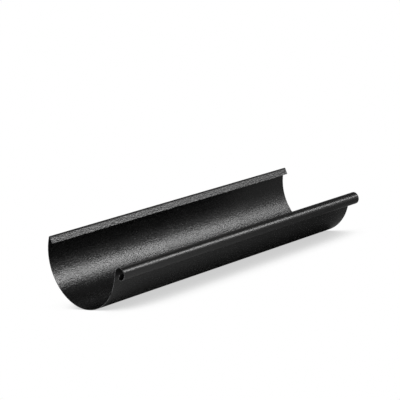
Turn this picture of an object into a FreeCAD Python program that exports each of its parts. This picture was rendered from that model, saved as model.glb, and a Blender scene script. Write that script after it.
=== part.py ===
import FreeCAD, Part
import os
from math import acos, asin, atan2, cos, degrees, hypot, radians, sin

# Half-round eaves gutter, roll-formed in one piece from coated steel strip, in millimetres.
# Its section is drawn as it hangs on a roof: "front" runs from the wall of the building out to
# the bead, "up" is vertical, and both are counted from the axis of the round trough.

# strip and cut length
gutter_length = 535.0
sheet_thickness = 0.6

# round trough
trough_radius = 75.0          # outside of the sheet, half of the nominal 150 mm

# open bead along the front edge
bead_diameter = 20.0          # outside of the sheet
bead_stand_off = 0.9          # from the front of the trough's circle to the back of the bead's
bead_rise = 0.6               # bead centre above the trough's axis
bead_overrun = 6.5            # degrees that the roll runs on past its lowest point
lip_bend_radius = 1.6         # inside of the bend that turns the edge up into the bead
lip_lean = 19.0               # degrees that the turned-up lip leans forwards from vertical
lip_depth = 6.7               # straight part of the lip

# rear edge, folded in over the trough
rear_rise = 22.8              # top of the fold above the trough's axis
fold_radius = 0.9             # inside of the fold
flange_slope = 62.0           # degrees below horizontal
flange_depth = 10.5           # straight part of the flange


def section_point(front, up):
    """A point of the section at the gutter's end: the bead faces -Y, the length runs along X."""
    return FreeCAD.Vector(-gutter_length / 2, -front, up)


def polar(radius, angle):
    """Step of a given length at an angle that is counted from the front, upwards."""
    return FreeCAD.Vector(0, -radius * cos(radians(angle)), radius * sin(radians(angle)))


def rear_fold(trough_axis, trough_mid):
    """Bend at the top of the rear wall, tangent to the trough's circle."""
    mid = fold_radius + sheet_thickness / 2
    centre_rise = rear_rise - mid - sheet_thickness / 2
    wall_end = 180 - degrees(asin(centre_rise / (trough_mid - mid)))
    return trough_axis + polar(trough_mid - mid, wall_end), mid, 90 - flange_slope, wall_end


def front_bead(trough_mid):
    """Roll of the bead. A short straight wall, tangent to both circles, leads up into it."""
    mid = (bead_diameter - sheet_thickness) / 2
    front = trough_radius + bead_stand_off + bead_diameter / 2
    centre_angle = degrees(atan2(bead_rise, front))
    wall_angle = centre_angle - degrees(acos((trough_mid + mid) / hypot(front, bead_rise)))
    return section_point(front, bead_rise), mid, 180 + wall_angle, -90 - bead_overrun


def bead_lip(bead_centre, bead_mid, bead_end):
    """Tight bend that turns the bead's edge up into its hollow."""
    mid = lip_bend_radius + sheet_thickness / 2
    return bead_centre + polar(bead_mid - mid, bead_end), mid, bead_end, -180 - lip_lean


def section_bends():
    """Centre, mid-sheet radius, first and last angle of each bend, from the rear edge on."""
    trough_axis = section_point(0, 0)
    trough_mid = trough_radius - sheet_thickness / 2
    fold = rear_fold(trough_axis, trough_mid)
    bead = front_bead(trough_mid)
    wall_end, bead_start = fold[3], bead[2]
    trough = (trough_axis, trough_mid, wall_end, bead_start + 180)
    return [fold, trough, bead, bead_lip(bead[0], bead[1], bead[3])]


def sheet_face(bends, side):
    """Edges of one face of the sheet: side is +1 outside the trough and -1 inside it."""
    arcs = []
    for centre, mid, first, last in bends:
        turning = 1 if last > first else -1
        radius = mid + side * turning * sheet_thickness / 2
        arcs.append([centre + polar(radius, angle) for angle in (first, (first + last) / 2, last)])
    fold, trough, bead, lip = arcs
    lip_edge = lip[-1] + polar(lip_depth, 90 - lip_lean)
    return [
        Part.LineSegment(fold[0] + polar(flange_depth, -flange_slope), fold[0]),
        Part.Arc(*fold),
        Part.Arc(*trough),
        Part.LineSegment(trough[-1], bead[0]),
        Part.Arc(*bead),
        Part.Arc(*lip),
        Part.LineSegment(lip[-1], lip_edge),
    ]


def strip_section():
    """Closed outline of the bent strip, square at both edges of the strip."""
    bends = section_bends()
    outside = sheet_face(bends, 1)
    inside = sheet_face(bends, -1)
    rear_edge = Part.LineSegment(inside[0].StartPoint, outside[0].StartPoint)
    front_edge = Part.LineSegment(outside[-1].EndPoint, inside[-1].EndPoint)
    outline = outside + [front_edge] + inside[::-1] + [rear_edge]
    return Part.Face(Part.Wire([edge.toShape() for edge in outline]))


def lying_gutter():
    """The gutter as it lies unheld: rolled towards its bead until its centre of mass is
    straight under the trough's axis, its lowest line on the floor, centred on the origin."""
    gutter = strip_section().extrude(FreeCAD.Vector(gutter_length, 0, 0))
    balance = gutter.CenterOfMass
    rest_roll = degrees(atan2(-balance.y, -balance.z))
    gutter.rotate(FreeCAD.Vector(), FreeCAD.Vector(1, 0, 0), rest_roll)
    bounds = gutter.optimalBoundingBox(False)
    gutter.translate(FreeCAD.Vector(0, -bounds.Center.y, trough_radius))
    print("rest roll %.2f degrees" % rest_roll)
    return gutter


os.makedirs("parts", exist_ok=True)
lying_gutter().exportStep("parts/gutter.step")
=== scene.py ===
import bpy
from math import acos, asin, atan2, cos, hypot, radians, sin, sqrt
from mathutils import Matrix, Vector


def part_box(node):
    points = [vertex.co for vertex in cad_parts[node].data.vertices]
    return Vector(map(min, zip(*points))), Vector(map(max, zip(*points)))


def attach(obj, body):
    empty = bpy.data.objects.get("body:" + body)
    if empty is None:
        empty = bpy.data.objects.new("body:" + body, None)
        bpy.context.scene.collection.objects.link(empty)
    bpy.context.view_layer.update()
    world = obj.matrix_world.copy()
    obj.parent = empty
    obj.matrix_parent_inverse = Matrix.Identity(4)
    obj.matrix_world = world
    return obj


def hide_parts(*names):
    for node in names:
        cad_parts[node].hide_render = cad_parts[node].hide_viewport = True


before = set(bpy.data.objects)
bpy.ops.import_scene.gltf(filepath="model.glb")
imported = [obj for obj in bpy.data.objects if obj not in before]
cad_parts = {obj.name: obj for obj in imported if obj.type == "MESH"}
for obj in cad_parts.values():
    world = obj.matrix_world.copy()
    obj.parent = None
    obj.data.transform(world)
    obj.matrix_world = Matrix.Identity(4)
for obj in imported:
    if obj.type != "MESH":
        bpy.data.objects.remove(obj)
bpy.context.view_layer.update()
mm = 0.001


def linear(hexColour):
    # an sRGB hex colour as linear red, green, blue and alpha
    parts = [int(hexColour[i:i + 2], 16) / 255 for i in (1, 3, 5)]
    return [c / 12.92 if c <= 0.04045 else ((c + 0.055) / 1.055) ** 2.4 for c in parts] + [1.0]


def addNode(tree, kind, links=None, **settings):
    # links gives each input a value or another node's socket
    node = tree.nodes.new(kind)
    for name, value in settings.items():
        setattr(node, name, value)
    for socket, value in (links or {}).items():
        if isinstance(value, bpy.types.NodeSocket):
            tree.links.new(value, node.inputs[socket])
        else:
            node.inputs[socket].default_value = value
    return node


def newMaterial(name):
    material = bpy.data.materials.new(name)
    material.use_nodes = True
    material.node_tree.nodes.clear()
    return material, material.node_tree


# The strip's paint: black polyester, roller-coated on galvanised steel and stoved.
# It cures to a satin skin with a fine wrinkle, which breaks every highlight into a glitter.
coating = {
    "dark": "#080808",          # in the hollows of the wrinkle
    "light": "#0e0e0e",         # on its crests
    "roughness": 0.27,
    "roughnessSpread": 0.10,    # from crest to hollow
    "ior": 1.4,
    "wrinkle": 1.8,             # mm; the real one is about 0.4 mm, drawn coarser so that it shows
    "wrinkleDepth": 0.40,       # mm, coarser by as much
    "wrinkleDetail": 1.0,       # finer wrinkles on the wrinkle,
    "wrinkleFineness": 0.6,     # and how strong they are
    "hollow": 0.25, "crest": 0.75,      # of the wrinkle's noise
    "ironedWrinkle": 0.15,      # share that the forming rolls leave on the trough's outside
    "beadWrinkle": 0.55,        # and on the bead
    "ironedEdge": 1.0,          # mm, how far the rolls reach past the fold
    "dullRoughness": 0.9,       # inside the bead and outside the fold, where they leave it dull
    "beadDull": 0.1,            # share of that dullness on the outside of the bead
    "patch": 45.0,              # mm, faint differences in gloss from the curing
    "patchDetail": 2.0,
    "patchLow": 0.3, "patchHigh": 0.7,      # of the patches' noise
    "patchSpread": 0.03,
}


def coatedSteel():
    material, tree = newMaterial("polyesterCoatedSteel")
    place = addNode(tree, "ShaderNodeTexCoord").outputs["Object"]
    wrinkle = addNode(tree, "ShaderNodeTexNoise", {
        "Vector": place, "Scale": 1 / (coating["wrinkle"] * mm),
        "Detail": coating["wrinkleDetail"], "Roughness": coating["wrinkleFineness"]}).outputs["Fac"]
    patch = addNode(tree, "ShaderNodeTexNoise", {
        "Vector": place, "Scale": 1 / (coating["patch"] * mm),
        "Detail": coating["patchDetail"]}).outputs["Fac"]
    tone = addNode(tree, "ShaderNodeMix", {
        0: wrinkle, 6: linear(coating["dark"]), 7: linear(coating["light"])},
        data_type="RGBA").outputs[2]
    fine = addNode(tree, "ShaderNodeMapRange", {
        "Value": wrinkle, "From Min": coating["hollow"], "From Max": coating["crest"],
        "To Min": coating["roughness"] + coating["roughnessSpread"] / 2,
        "To Max": coating["roughness"] - coating["roughnessSpread"] / 2}).outputs[0]
    coarse = addNode(tree, "ShaderNodeMapRange", {
        "Value": patch, "From Min": coating["patchLow"], "From Max": coating["patchHigh"],
        "To Min": -coating["patchSpread"], "To Max": coating["patchSpread"]}).outputs[0]
    formed = addNode(tree, "ShaderNodeMath", {0: fine, 1: coarse}, operation="ADD").outputs[0]
    dulled = addNode(tree, "ShaderNodeAttribute", attribute_name="dulledShare").outputs["Fac"]
    roughness = addNode(tree, "ShaderNodeMapRange", {
        "Value": dulled, "To Min": formed, "To Max": coating["dullRoughness"]}).outputs[0]
    share = addNode(tree, "ShaderNodeAttribute", attribute_name="wrinkleShare").outputs["Fac"]
    bump = addNode(tree, "ShaderNodeBump", {
        "Strength": share, "Height": wrinkle, "Distance": coating["wrinkleDepth"] * mm})
    shader = addNode(tree, "ShaderNodeBsdfPrincipled", {
        "Base Color": tone, "Roughness": roughness, "IOR": coating["ior"],
        "Normal": bump.outputs["Normal"]})
    addNode(tree, "ShaderNodeOutputMaterial", {"Surface": shader.outputs["BSDF"]})
    return material


# The cut through the strip: a shear leaves a burnished band, then a dull torn one, between the
# two skins of paint and zinc, and smears some paint over both.
cut = {
    "burnished": "#8a8a8c", "torn": "#636364", "zinc": "#9c9ea0", "paint": "#1a1a1a",
    "skin": 0.07, "zincSkin": 0.11, "burnishedPart": 0.42,      # shares of the sheet's thickness
    "metallic": 1.0,
    "roughness": 0.45,
    "smear": 3.0,               # mm, patches of smeared paint
    "smearDetail": 3.0,
    "bare": 0.45, "covered": 0.65,      # of the patches' noise
    "smearDepth": 0.1,          # mm
}


def shearedSteel():
    material, tree = newMaterial("shearedSteel")
    place = addNode(tree, "ShaderNodeTexCoord").outputs["Object"]
    depth = addNode(tree, "ShaderNodeAttribute", attribute_name="sheetDepth").outputs["Fac"]
    smear = addNode(tree, "ShaderNodeTexNoise", {
        "Vector": place, "Scale": 1 / (cut["smear"] * mm),
        "Detail": cut["smearDetail"]}).outputs["Fac"]
    layers = addNode(tree, "ShaderNodeValToRGB", {"Fac": depth})
    ramp = layers.color_ramp
    ramp.interpolation = "CONSTANT"
    stops = [(0.0, "paint"), (cut["skin"], "zinc"), (cut["zincSkin"], "burnished"),
             (cut["burnishedPart"], "torn"), (1 - cut["zincSkin"], "zinc"),
             (1 - cut["skin"], "paint")]
    for share, name in stops:
        stop = ramp.elements[0] if share == 0.0 else ramp.elements.new(share)
        stop.color = linear(cut[name])
    ramp.elements.remove(ramp.elements[-1])
    covered = addNode(tree, "ShaderNodeMapRange", {
        "Value": smear, "From Min": cut["bare"], "From Max": cut["covered"]}).outputs[0]
    tone = addNode(tree, "ShaderNodeMix", {
        0: covered, 6: layers.outputs["Color"], 7: linear(cut["paint"])},
        data_type="RGBA").outputs[2]
    bump = addNode(tree, "ShaderNodeBump", {"Height": smear, "Distance": cut["smearDepth"] * mm})
    shader = addNode(tree, "ShaderNodeBsdfPrincipled", {
        "Base Color": tone, "Roughness": cut["roughness"], "Metallic": cut["metallic"],
        "Normal": bump.outputs["Normal"]})
    addNode(tree, "ShaderNodeOutputMaterial", {"Surface": shader.outputs["BSDF"]})
    return material


# the strip and its bends, in millimetres and degrees, as the section hangs on a roof
gutter = {
    "length": 535.0,
    "sheet": 0.6,
    "troughRadius": 75.0,         # outside of the sheet
    "beadDiameter": 20.0,         # outside of the sheet
    "beadStandOff": 0.9,          # from the trough's circle to the bead's
    "beadRise": 0.6,              # of the bead's centre above the trough's
    "beadOverrun": 6.5,           # how far the bead runs on past its lowest point
    "lipBendRadius": 1.6,         # inside of the bend
    "lipLean": 19.0,              # from upright
    "lipDepth": 6.7,
    "rearRise": 22.8,             # of the fold's top above the trough's centre
    "foldRadius": 0.9,            # inside of the bend
    "flangeSlope": 62.0,
    "flangeDepth": 10.5,
    "restRoll": 13.3,             # how far it rolls towards its bead when nothing holds it
    "waviness": 0.05,             # of the sheet between the forming rolls
    "waveLength": 90.0,
    "waveDetail": 1.0,
    "seed": 4.0,
    "divisionsAlong": 80,
    "divisions": {
        "Flange": 5, "Fold": 12, "Trough": 96, "Wall": 6, "Bead": 44, "Lip Bend": 10, "Lip": 4},
    "seamWidth": 0.001,           # gap that is closed where the sheet's faces meet
    "sharpAngle": 40.0,           # of an edge that is shaded sharp
}


def stripRuns():
    # each run of the strip, rear edge first, with its mesh divisions, its length or radius, and
    # its turn; a radius is negative where the strip bends away from the face that starts uppermost
    half = gutter["sheet"] / 2
    trough = gutter["troughRadius"] - half
    bead = gutter["beadDiameter"] / 2 - half
    fold = gutter["foldRadius"] + half
    lip = gutter["lipBendRadius"] + half
    front = gutter["troughRadius"] + gutter["beadStandOff"] + gutter["beadDiameter"] / 2
    reach = hypot(front, gutter["beadRise"])
    wallAngle = atan2(gutter["beadRise"], front) - acos((trough + bead) / reach)
    rearAngle = radians(180) - asin((gutter["rearRise"] - fold - half) / (trough - fold))
    foldAngle = radians(90 - gutter["flangeSlope"])
    beadAngle = radians(-90 - gutter["beadOverrun"])
    lipAngle = radians(-180 - gutter["lipLean"])
    wall = sqrt(reach ** 2 - (trough + bead) ** 2)
    formed = {
        "Flange": (gutter["flangeDepth"], None),
        "Fold": (-fold, rearAngle - foldAngle),
        "Trough": (-trough, radians(360) + wallAngle - rearAngle),
        "Wall": (wall, None),
        "Bead": (bead, radians(180) + wallAngle - beadAngle),
        "Lip Bend": (lip, beadAngle - lipAngle),
        "Lip": (gutter["lipDepth"], None),
    }
    runs = [(run, gutter["divisions"][run], *sizes) for run, sizes in formed.items()]
    slope = radians(-gutter["flangeSlope"])
    rearEdge = [(trough - fold) * part(rearAngle) + fold * part(foldAngle)
                + gutter["flangeDepth"] * part(slope) for part in (cos, sin)]
    return runs, rearEdge


def bendTree():
    # one bend: what lies past its start is wound round it, and the rest follows unbent
    tree = bpy.data.node_groups.new("bendStrip", "GeometryNodeTree")
    tree.interface.new_socket("Geometry", in_out="INPUT", socket_type="NodeSocketGeometry")
    for name in ("Start", "Length", "Radius"):
        tree.interface.new_socket(name, in_out="INPUT", socket_type="NodeSocketFloat")
    tree.interface.new_socket("Geometry", in_out="OUTPUT", socket_type="NodeSocketGeometry")
    given = addNode(tree, "NodeGroupInput").outputs
    station = addNode(tree, "GeometryNodeInputNamedAttribute", {"Name": "station"}).outputs[0]
    past = addNode(tree, "ShaderNodeMath", {
        0: station, 1: given["Start"]}, operation="SUBTRACT").outputs[0]
    run = addNode(tree, "ShaderNodeClamp", {
        "Value": past, "Min": 0.0, "Max": given["Length"]}).outputs[0]
    turn = addNode(tree, "ShaderNodeMath", {
        0: run, 1: given["Radius"]}, operation="DIVIDE").outputs[0]
    reached = addNode(tree, "ShaderNodeMath", {
        0: given["Start"], 1: run}, operation="ADD").outputs[0]
    hinge = addNode(tree, "ShaderNodeCombineXYZ", {"Y": reached}).outputs[0]

    # from the flat strip to the arc: radius times sine onward, radius times 1 - cosine up
    sine = addNode(tree, "ShaderNodeMath", {0: turn}, operation="SINE").outputs[0]
    onward = addNode(tree, "ShaderNodeMath", {
        0: given["Radius"], 1: sine}, operation="MULTIPLY").outputs[0]
    shift = addNode(tree, "ShaderNodeMath", {0: onward, 1: run}, operation="SUBTRACT").outputs[0]
    cosine = addNode(tree, "ShaderNodeMath", {0: turn}, operation="COSINE").outputs[0]
    drop = addNode(tree, "ShaderNodeMath", {0: 1.0, 1: cosine}, operation="SUBTRACT").outputs[0]
    rise = addNode(tree, "ShaderNodeMath", {
        0: given["Radius"], 1: drop}, operation="MULTIPLY").outputs[0]
    move = addNode(tree, "ShaderNodeCombineXYZ", {"Y": shift, "Z": rise}).outputs[0]
    position = addNode(tree, "GeometryNodeInputPosition").outputs[0]
    turned = addNode(tree, "ShaderNodeVectorRotate", {
        "Vector": position, "Center": hinge, "Angle": turn}, rotation_type="X_AXIS").outputs[0]
    place = addNode(tree, "ShaderNodeVectorMath", {0: turned, 1: move}, operation="ADD").outputs[0]
    bent = addNode(tree, "GeometryNodeSetPosition", {
        "Geometry": given["Geometry"], "Position": place}).outputs[0]
    addNode(tree, "NodeGroupOutput", {"Geometry": bent})
    return tree


def rollFormingTree(runs, coat, edge):
    # a flat strip, bent run by run from its front edge back, as forming rolls bend it
    tree = bpy.data.node_groups.new("rollForming", "GeometryNodeTree")
    tree.interface.new_socket("Geometry", in_out="OUTPUT", socket_type="NodeSocketGeometry")
    names = ["Length", "Sheet", "Waviness", "Wave Length", "Seed",
             "Rear Edge Y", "Rear Edge Z", "Tilt"]
    for run, divisions, size, turn in runs:
        names += [run + " Length"] if turn is None else [run + " Radius", run + " Turn"]
    for name in names:
        tree.interface.new_socket(name, in_out="INPUT", socket_type="NodeSocketFloat")
    given = addNode(tree, "NodeGroupInput").outputs

    # the blank: a grid whose rows are spread so that each run has its own number of them;
    # stretches keeps where each run starts along the strip, and its length
    rows = sum(divisions for run, divisions, size, turn in runs)
    grid = addNode(tree, "GeometryNodeMeshGrid", {
        "Size X": given["Length"], "Size Y": float(rows),
        "Vertices X": gutter["divisionsAlong"] + 1, "Vertices Y": rows + 1}).outputs["Mesh"]
    position = addNode(tree, "GeometryNodeInputPosition").outputs[0]
    split = addNode(tree, "ShaderNodeSeparateXYZ", {0: position}).outputs
    row = addNode(tree, "ShaderNodeMath", {0: split["Y"], 1: rows / 2}, operation="ADD").outputs[0]
    firstRow, start, station, stretches = 0, 0.0, 0.0, {}
    for run, divisions, size, turn in runs:
        if turn is None:
            length = given[run + " Length"]
        else:
            arc = addNode(tree, "ShaderNodeMath", {
                0: given[run + " Radius"], 1: given[run + " Turn"]},
                operation="MULTIPLY").outputs[0]
            length = addNode(tree, "ShaderNodeMath", {0: arc}, operation="ABSOLUTE").outputs[0]
        share = addNode(tree, "ShaderNodeMapRange", {
            "Value": row, "From Min": float(firstRow), "From Max": float(firstRow + divisions),
            "To Max": length}).outputs[0]
        stretches[run] = (start, length)
        start = addNode(tree, "ShaderNodeMath", {
            0: start, 1: length}, operation="ADD").outputs[0]
        station = addNode(tree, "ShaderNodeMath", {
            0: station, 1: share}, operation="ADD").outputs[0]
        firstRow += divisions
    under = addNode(tree, "ShaderNodeMath", {
        0: given["Sheet"], 1: -0.5}, operation="MULTIPLY").outputs[0]
    spread = addNode(tree, "ShaderNodeCombineXYZ", {
        "X": split["X"], "Y": station, "Z": under}).outputs[0]
    blank = addNode(tree, "GeometryNodeSetPosition", {
        "Geometry": grid, "Position": spread}).outputs[0]

    # the sheet's thickness, closed at its edges
    back = addNode(tree, "GeometryNodeFlipFaces", {"Mesh": blank}).outputs[0]
    raised = addNode(tree, "GeometryNodeExtrudeMesh", {
        "Mesh": blank, "Offset Scale": given["Sheet"], "Individual": False}).outputs
    joined = addNode(tree, "GeometryNodeJoinGeometry")
    tree.links.new(back, joined.inputs[0])
    tree.links.new(raised["Mesh"], joined.inputs[0])
    shape = addNode(tree, "GeometryNodeMergeByDistance", {
        "Geometry": joined.outputs[0], "Distance": gutter["seamWidth"] * mm}).outputs[0]
    place = addNode(tree, "ShaderNodeSeparateXYZ", {0: position}).outputs
    level = addNode(tree, "ShaderNodeMath", {
        0: place["Z"], 1: given["Sheet"]}, operation="DIVIDE").outputs[0]
    depth = addNode(tree, "ShaderNodeMath", {0: level, 1: 0.5}, operation="ADD").outputs[0]

    # 0 to 1 as the strip comes onto the fold, leaves it, and comes onto the bead; depth is 1
    # on the face that becomes the trough's outside and the bead's inside
    foldStart, troughStart = stretches["Fold"][0], stretches["Trough"][0]
    beforeFold = addNode(tree, "ShaderNodeMath", {
        0: foldStart, 1: coating["ironedEdge"] * mm}, operation="SUBTRACT").outputs[0]
    afterFold = addNode(tree, "ShaderNodeMath", {
        0: troughStart, 1: coating["ironedEdge"] * mm}, operation="ADD").outputs[0]
    onFold, pastFold, onBead = (
        addNode(tree, "ShaderNodeMapRange", {
            "Value": place["Y"], "From Min": begins, "From Max": ends}).outputs[0]
        for begins, ends in ((beforeFold, foldStart), (troughStart, afterFold),
                             (stretches["Wall"][0], stretches["Bead"][0])))

    # the wrinkle that the rolls leave, on the outside from the fold on and on the bead
    outside = addNode(tree, "ShaderNodeMath", {
        0: onFold, 1: depth}, operation="MULTIPLY").outputs[0]
    leftOutside, leftOnBead = (
        addNode(tree, "ShaderNodeMapRange", {
            "Value": worked, "To Min": 1.0, "To Max": left}).outputs[0]
        for worked, left in ((outside, coating["ironedWrinkle"]), (onBead, coating["beadWrinkle"])))
    wrinkled = addNode(tree, "ShaderNodeMath", {
        0: leftOutside, 1: leftOnBead}, operation="MINIMUM").outputs[0]

    # how dull they leave the paint: the bead's inside and the fold's outside fully, and the
    # bead's outside a little
    acrossFold = addNode(tree, "ShaderNodeMath", {
        0: onFold, 1: pastFold}, operation="SUBTRACT").outputs[0]
    tightlyBent = addNode(tree, "ShaderNodeMath", {
        0: onBead, 1: acrossFold}, operation="ADD").outputs[0]
    dullFace = addNode(tree, "ShaderNodeMath", {
        0: tightlyBent, 1: depth}, operation="MULTIPLY").outputs[0]
    dullBead = addNode(tree, "ShaderNodeMath", {
        0: onBead, 1: coating["beadDull"]}, operation="MULTIPLY").outputs[0]
    dulled = addNode(tree, "ShaderNodeMath", {
        0: dullFace, 1: dullBead}, operation="MAXIMUM").outputs[0]
    stored = {"station": place["Y"], "sheetDepth": depth,
              "wrinkleShare": wrinkled, "dulledShare": dulled}
    for name, value in stored.items():
        shape = addNode(tree, "GeometryNodeStoreNamedAttribute", {
            "Geometry": shape, "Name": name, "Value": value},
            data_type="FLOAT", domain="POINT").outputs[0]

    # a slight waviness, the same through the sheet
    flat = addNode(tree, "ShaderNodeCombineXYZ", {"X": place["X"], "Y": place["Y"]}).outputs[0]
    density = addNode(tree, "ShaderNodeMath", {
        0: 1.0, 1: given["Wave Length"]}, operation="DIVIDE").outputs[0]
    wave = addNode(tree, "ShaderNodeTexNoise", {
        "Vector": flat, "W": given["Seed"], "Scale": density, "Detail": gutter["waveDetail"]},
        noise_dimensions="4D").outputs[0]
    swing = addNode(tree, "ShaderNodeMath", {0: wave, 1: 0.5}, operation="SUBTRACT").outputs[0]
    lift = addNode(tree, "ShaderNodeMath", {
        0: swing, 1: given["Waviness"]}, operation="MULTIPLY").outputs[0]
    offset = addNode(tree, "ShaderNodeCombineXYZ", {"Z": lift}).outputs[0]
    shape = addNode(tree, "GeometryNodeSetPosition", {
        "Geometry": shape, "Offset": offset}).outputs[0]

    bend = bendTree()
    for run, divisions, size, turn in reversed(runs):
        if turn is not None:
            start, length = stretches[run]
            shape = addNode(tree, "GeometryNodeGroup", {
                "Geometry": shape, "Start": start, "Length": length,
                "Radius": given[run + " Radius"]}, node_tree=bend).outputs[0]

    # the flange still lies flat at the origin: tilt it and carry all to its place
    turned = addNode(tree, "ShaderNodeVectorRotate", {
        "Vector": position, "Angle": given["Tilt"]}, rotation_type="X_AXIS").outputs[0]
    carry = addNode(tree, "ShaderNodeCombineXYZ", {
        "Y": given["Rear Edge Y"], "Z": given["Rear Edge Z"]}).outputs[0]
    target = addNode(tree, "ShaderNodeVectorMath", {
        0: turned, 1: carry}, operation="ADD").outputs[0]
    shape = addNode(tree, "GeometryNodeSetPosition", {
        "Geometry": shape, "Position": target}).outputs[0]
    shape = addNode(tree, "GeometryNodeRealizeInstances", {"Geometry": shape}).outputs[0]
    shape = addNode(tree, "GeometryNodeSetMaterial", {
        "Geometry": shape, "Material": coat}).outputs[0]
    shape = addNode(tree, "GeometryNodeSetMaterial", {
        "Geometry": shape, "Selection": raised["Side"], "Material": edge}).outputs[0]
    addNode(tree, "NodeGroupOutput", {"Geometry": shape})
    return tree


def rolledGutter():
    runs, rearEdge = stripRuns()
    low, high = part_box("gutter")
    axis = Vector((0, high[1] - gutter["troughRadius"] * mm, low[2] + gutter["troughRadius"] * mm))
    roll = radians(gutter["restRoll"])
    place = axis + Matrix.Rotation(roll, 3, "X") @ Vector((0, -rearEdge[0], rearEdge[1])) * mm
    values = {
        "Length": gutter["length"] * mm, "Sheet": gutter["sheet"] * mm,
        "Waviness": gutter["waviness"] * mm, "Wave Length": gutter["waveLength"] * mm,
        "Seed": gutter["seed"], "Rear Edge Y": place.y, "Rear Edge Z": place.z,
        "Tilt": radians(gutter["flangeSlope"]) + roll,
    }
    for run, divisions, size, turn in runs:
        values[run + (" Length" if turn is None else " Radius")] = size * mm
        if turn is not None:
            values[run + " Turn"] = turn
    piece = bpy.data.objects.new("rolledGutter", bpy.data.meshes.new("rolledGutter"))
    bpy.context.scene.collection.objects.link(piece)
    forming = piece.modifiers.new("rollForming", "NODES")
    forming.node_group = rollFormingTree(runs, coatedSteel(), shearedSteel())
    for item in forming.node_group.interface.items_tree:
        if item.in_out == "INPUT":
            forming[item.identifier] = values[item.name]
    graph = bpy.context.evaluated_depsgraph_get()
    mesh = bpy.data.meshes.new_from_object(
        piece.evaluated_get(graph), preserve_all_data_layers=True, depsgraph=graph)
    piece.modifiers.clear()
    piece.data = mesh
    mesh.shade_smooth()
    mesh.set_sharp_from_angle(angle=radians(gutter["sharpAngle"]))
    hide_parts("gutter")
    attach(piece, "root")
    print("gutter rolled:", len(mesh.polygons), "faces")
    return axis, roll


# where the photograph was taken from, in degrees and millimetres about the hanging gutter
view = {
    "azimuth": -45.3975, "elevation": 16.8539, "turn": -0.1158,
    "distance": 2419.22, "right": -10.768, "up": 35.094,
    "focalPixels": 1509.62, "pixelsAcross": 400,
    "sensorWidth": 36.0,
    "clipEnd": 100.0,             # m
}


def photoCamera(axis, roll):
    azimuth, elevation, turn = (radians(view[name]) for name in ("azimuth", "elevation", "turn"))
    back = Vector((sin(azimuth) * cos(elevation), -cos(azimuth) * cos(elevation), sin(elevation)))
    level = Vector((cos(azimuth), sin(azimuth), 0))
    upright = back.cross(level)
    right = level * cos(turn) + upright * sin(turn)
    up = upright * cos(turn) - level * sin(turn)
    pose = Matrix((right, up, back)).transposed().to_4x4()
    pose.translation = (back * view["distance"] + right * view["right"] + up * view["up"]) * mm
    data = bpy.data.cameras.new("photoCamera")
    data.sensor_width = view["sensorWidth"]
    data.lens = view["focalPixels"] * view["sensorWidth"] / view["pixelsAcross"]
    data.clip_end = view["clipEnd"]
    camera = bpy.data.objects.new("photoCamera", data)
    bpy.context.scene.collection.objects.link(camera)
    camera.matrix_world = Matrix.Translation(axis) @ Matrix.Rotation(roll, 4, "X") @ pose
    bpy.context.scene.camera = camera
    print("camera at", [round(v, 3) for v in camera.matrix_world.translation])


# a white floor with a painted shadow, darker where the gutter would shade it, and a sky that is
# pale only low down, in metres and degrees; the painted shades go by how open the floor is, 0 to 1
studio = {
    "floorSize": 60.0,
    "floor": "#e6e6e6",           # as it lights the gutter
    "shadeReach": 0.3, "shadeSamples": 8,
    "shadeStart": 0.19, "shadeEnd": 0.67, "shadeSeen": 0.6,      # as the camera sees it
    # painted shade: the floor's tone as the gutter's gloss sees it, deeper than the camera's
    # painted shadow
    "shadeInGloss": [(0.17, 0.0), (0.28, 0.36), (0.40, 0.52), (0.62, 0.48), (0.85, 0.85)],
    # a painted darkening of the floor along the gutter, seen only in its gloss
    "fallOffStart": -0.2, "fallOffEnd": 0.25, "fallOffTone": 0.3,      # along the gutter
    "horizon": "#ffffff", "horizonEnd": 7.5,
    "overhead": "#636363", "overheadStart": 9.0,
}


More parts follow.
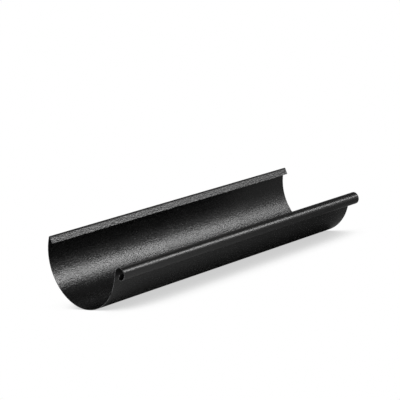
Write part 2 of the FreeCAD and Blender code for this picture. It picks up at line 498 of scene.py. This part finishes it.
def studioFloor():
    material, tree = newMaterial("studioFloor")
    path = addNode(tree, "ShaderNodeLightPath").outputs
    seen = path["Is Camera Ray"]
    for kind in ("Is Glossy Ray", "Is Transmission Ray"):
        seen = addNode(tree, "ShaderNodeMath", {
            0: seen, 1: path[kind]}, operation="MAXIMUM").outputs[0]
    # painted shadow: the floor's emitted white is darkened by how open the floor is, not by the
    # lamps
    openness = addNode(tree, "ShaderNodeAmbientOcclusion", {
        "Distance": studio["shadeReach"]}, samples=studio["shadeSamples"]).outputs["AO"]
    toCamera = addNode(tree, "ShaderNodeMapRange", {
        "Value": openness, "From Min": studio["shadeStart"], "From Max": studio["shadeEnd"],
        "To Min": studio["shadeSeen"]}).outputs[0]
    # painted shade in the gutter's gloss: deeper than the camera sees, and a painted darkening of
    # the floor past its middle along the gutter
    paintedGlossShade = addNode(tree, "ShaderNodeValToRGB", {"Fac": openness})
    for share, tone in studio["shadeInGloss"]:
        paintedGlossShade.color_ramp.elements.new(share).color = (tone, tone, tone, 1.0)
    spot = addNode(tree, "ShaderNodeTexCoord").outputs["Object"]
    along = addNode(tree, "ShaderNodeSeparateXYZ", {0: spot}).outputs["X"]
    paintedFallOff = addNode(tree, "ShaderNodeMapRange", {
        "Value": along, "From Min": studio["fallOffStart"], "From Max": studio["fallOffEnd"],
        "To Min": 1.0, "To Max": studio["fallOffTone"]}).outputs[0]
    inGloss = addNode(tree, "ShaderNodeMath", {
        0: paintedGlossShade.outputs["Color"], 1: paintedFallOff}, operation="MULTIPLY").outputs[0]
    shaded = addNode(tree, "ShaderNodeMix", {
        0: path["Is Camera Ray"], 2: inGloss, 3: toCamera}).outputs[0]
    pale = addNode(tree, "ShaderNodeBsdfDiffuse", {"Color": linear(studio["floor"])}).outputs[0]
    white = addNode(tree, "ShaderNodeEmission", {"Color": shaded, "Strength": 1.0}).outputs[0]
    mixed = addNode(tree, "ShaderNodeMixShader", {0: seen, 1: pale, 2: white}).outputs[0]
    addNode(tree, "ShaderNodeOutputMaterial", {"Surface": mixed})
    half = studio["floorSize"] / 2
    corners = [(-half, -half, 0), (half, -half, 0), (half, half, 0), (-half, half, 0)]
    mesh = bpy.data.meshes.new("studioFloor")
    mesh.from_pydata(corners, [], [(0, 1, 2, 3)])
    mesh.materials.append(material)
    floor = bpy.data.objects.new("studioFloor", mesh)
    bpy.context.scene.collection.objects.link(floor)
    print("floor laid:", studio["floorSize"], "m")


def studioWorld():
    world = bpy.data.worlds.new("studioWorld")
    world.use_nodes = True
    tree = world.node_tree
    tree.nodes.clear()
    place = addNode(tree, "ShaderNodeTexCoord").outputs["Generated"]
    height = addNode(tree, "ShaderNodeSeparateXYZ", {0: place}).outputs["Z"]
    dim = addNode(tree, "ShaderNodeMapRange", {
        "Value": height, "From Min": sin(radians(studio["horizonEnd"])),
        "From Max": sin(radians(studio["overheadStart"]))},
        interpolation_type="SMOOTHSTEP").outputs[0]
    tone = addNode(tree, "ShaderNodeMix", {
        0: dim, 6: linear(studio["horizon"]), 7: linear(studio["overhead"])},
        data_type="RGBA").outputs[2]
    sky = addNode(tree, "ShaderNodeBackground", {"Color": tone}).outputs[0]
    addNode(tree, "ShaderNodeOutputWorld", {"Surface": sky})
    bpy.context.scene.world = world
    print("sky set:", studio["horizon"], "to", studio["overhead"])


# softboxes: where each stands as seen from the gutter, in degrees from its bead side, its
# distance and size in metres, how far it is turned about its own axis, and its watts
softboxes = {
    "keyBox": {
        "azimuth": 36, "height": 30.5, "distance": 1.6,
        "width": 0.87, "depth": 0.38, "turn": -21, "watts": 21},
    "stripBox": {
        "azimuth": 65, "height": 17, "distance": 1.6,
        "width": 1.16, "depth": 0.22, "turn": -17, "watts": 4.6},
    "fillBox": {
        "azimuth": -75, "height": 48, "distance": 1.6,
        "width": 1.0, "depth": 1.0, "turn": 0, "watts": 3},
    "rearBox": {
        "azimuth": 150, "height": 50, "distance": 1.6,
        "width": 1.0, "depth": 1.0, "turn": 0, "watts": 2.4},
}


def hangLights(axis):
    for name, box in softboxes.items():
        azimuth, height = radians(box["azimuth"]), radians(box["height"])
        towards = Vector((sin(azimuth) * cos(height), -cos(azimuth) * cos(height), sin(height)))
        data = bpy.data.lights.new(name, "AREA")
        data.shape = "RECTANGLE"
        data.size = box["width"]
        data.size_y = box["depth"]
        data.energy = box["watts"]
        light = bpy.data.objects.new(name, data)
        bpy.context.scene.collection.objects.link(light)
        aim = towards.to_track_quat("Z", "Y").to_matrix().to_4x4()
        light.matrix_world = (Matrix.Translation(axis + towards * box["distance"]) @ aim
                              @ Matrix.Rotation(radians(box["turn"]), 4, "Z"))
        light.visible_camera = False
    print("lights hung:", ", ".join(softboxes))


axis, roll = rolledGutter()
photoCamera(axis, roll)
studioFloor()
studioWorld()
hangLights(axis)
bpy.context.scene.view_settings.view_transform = "Standard"
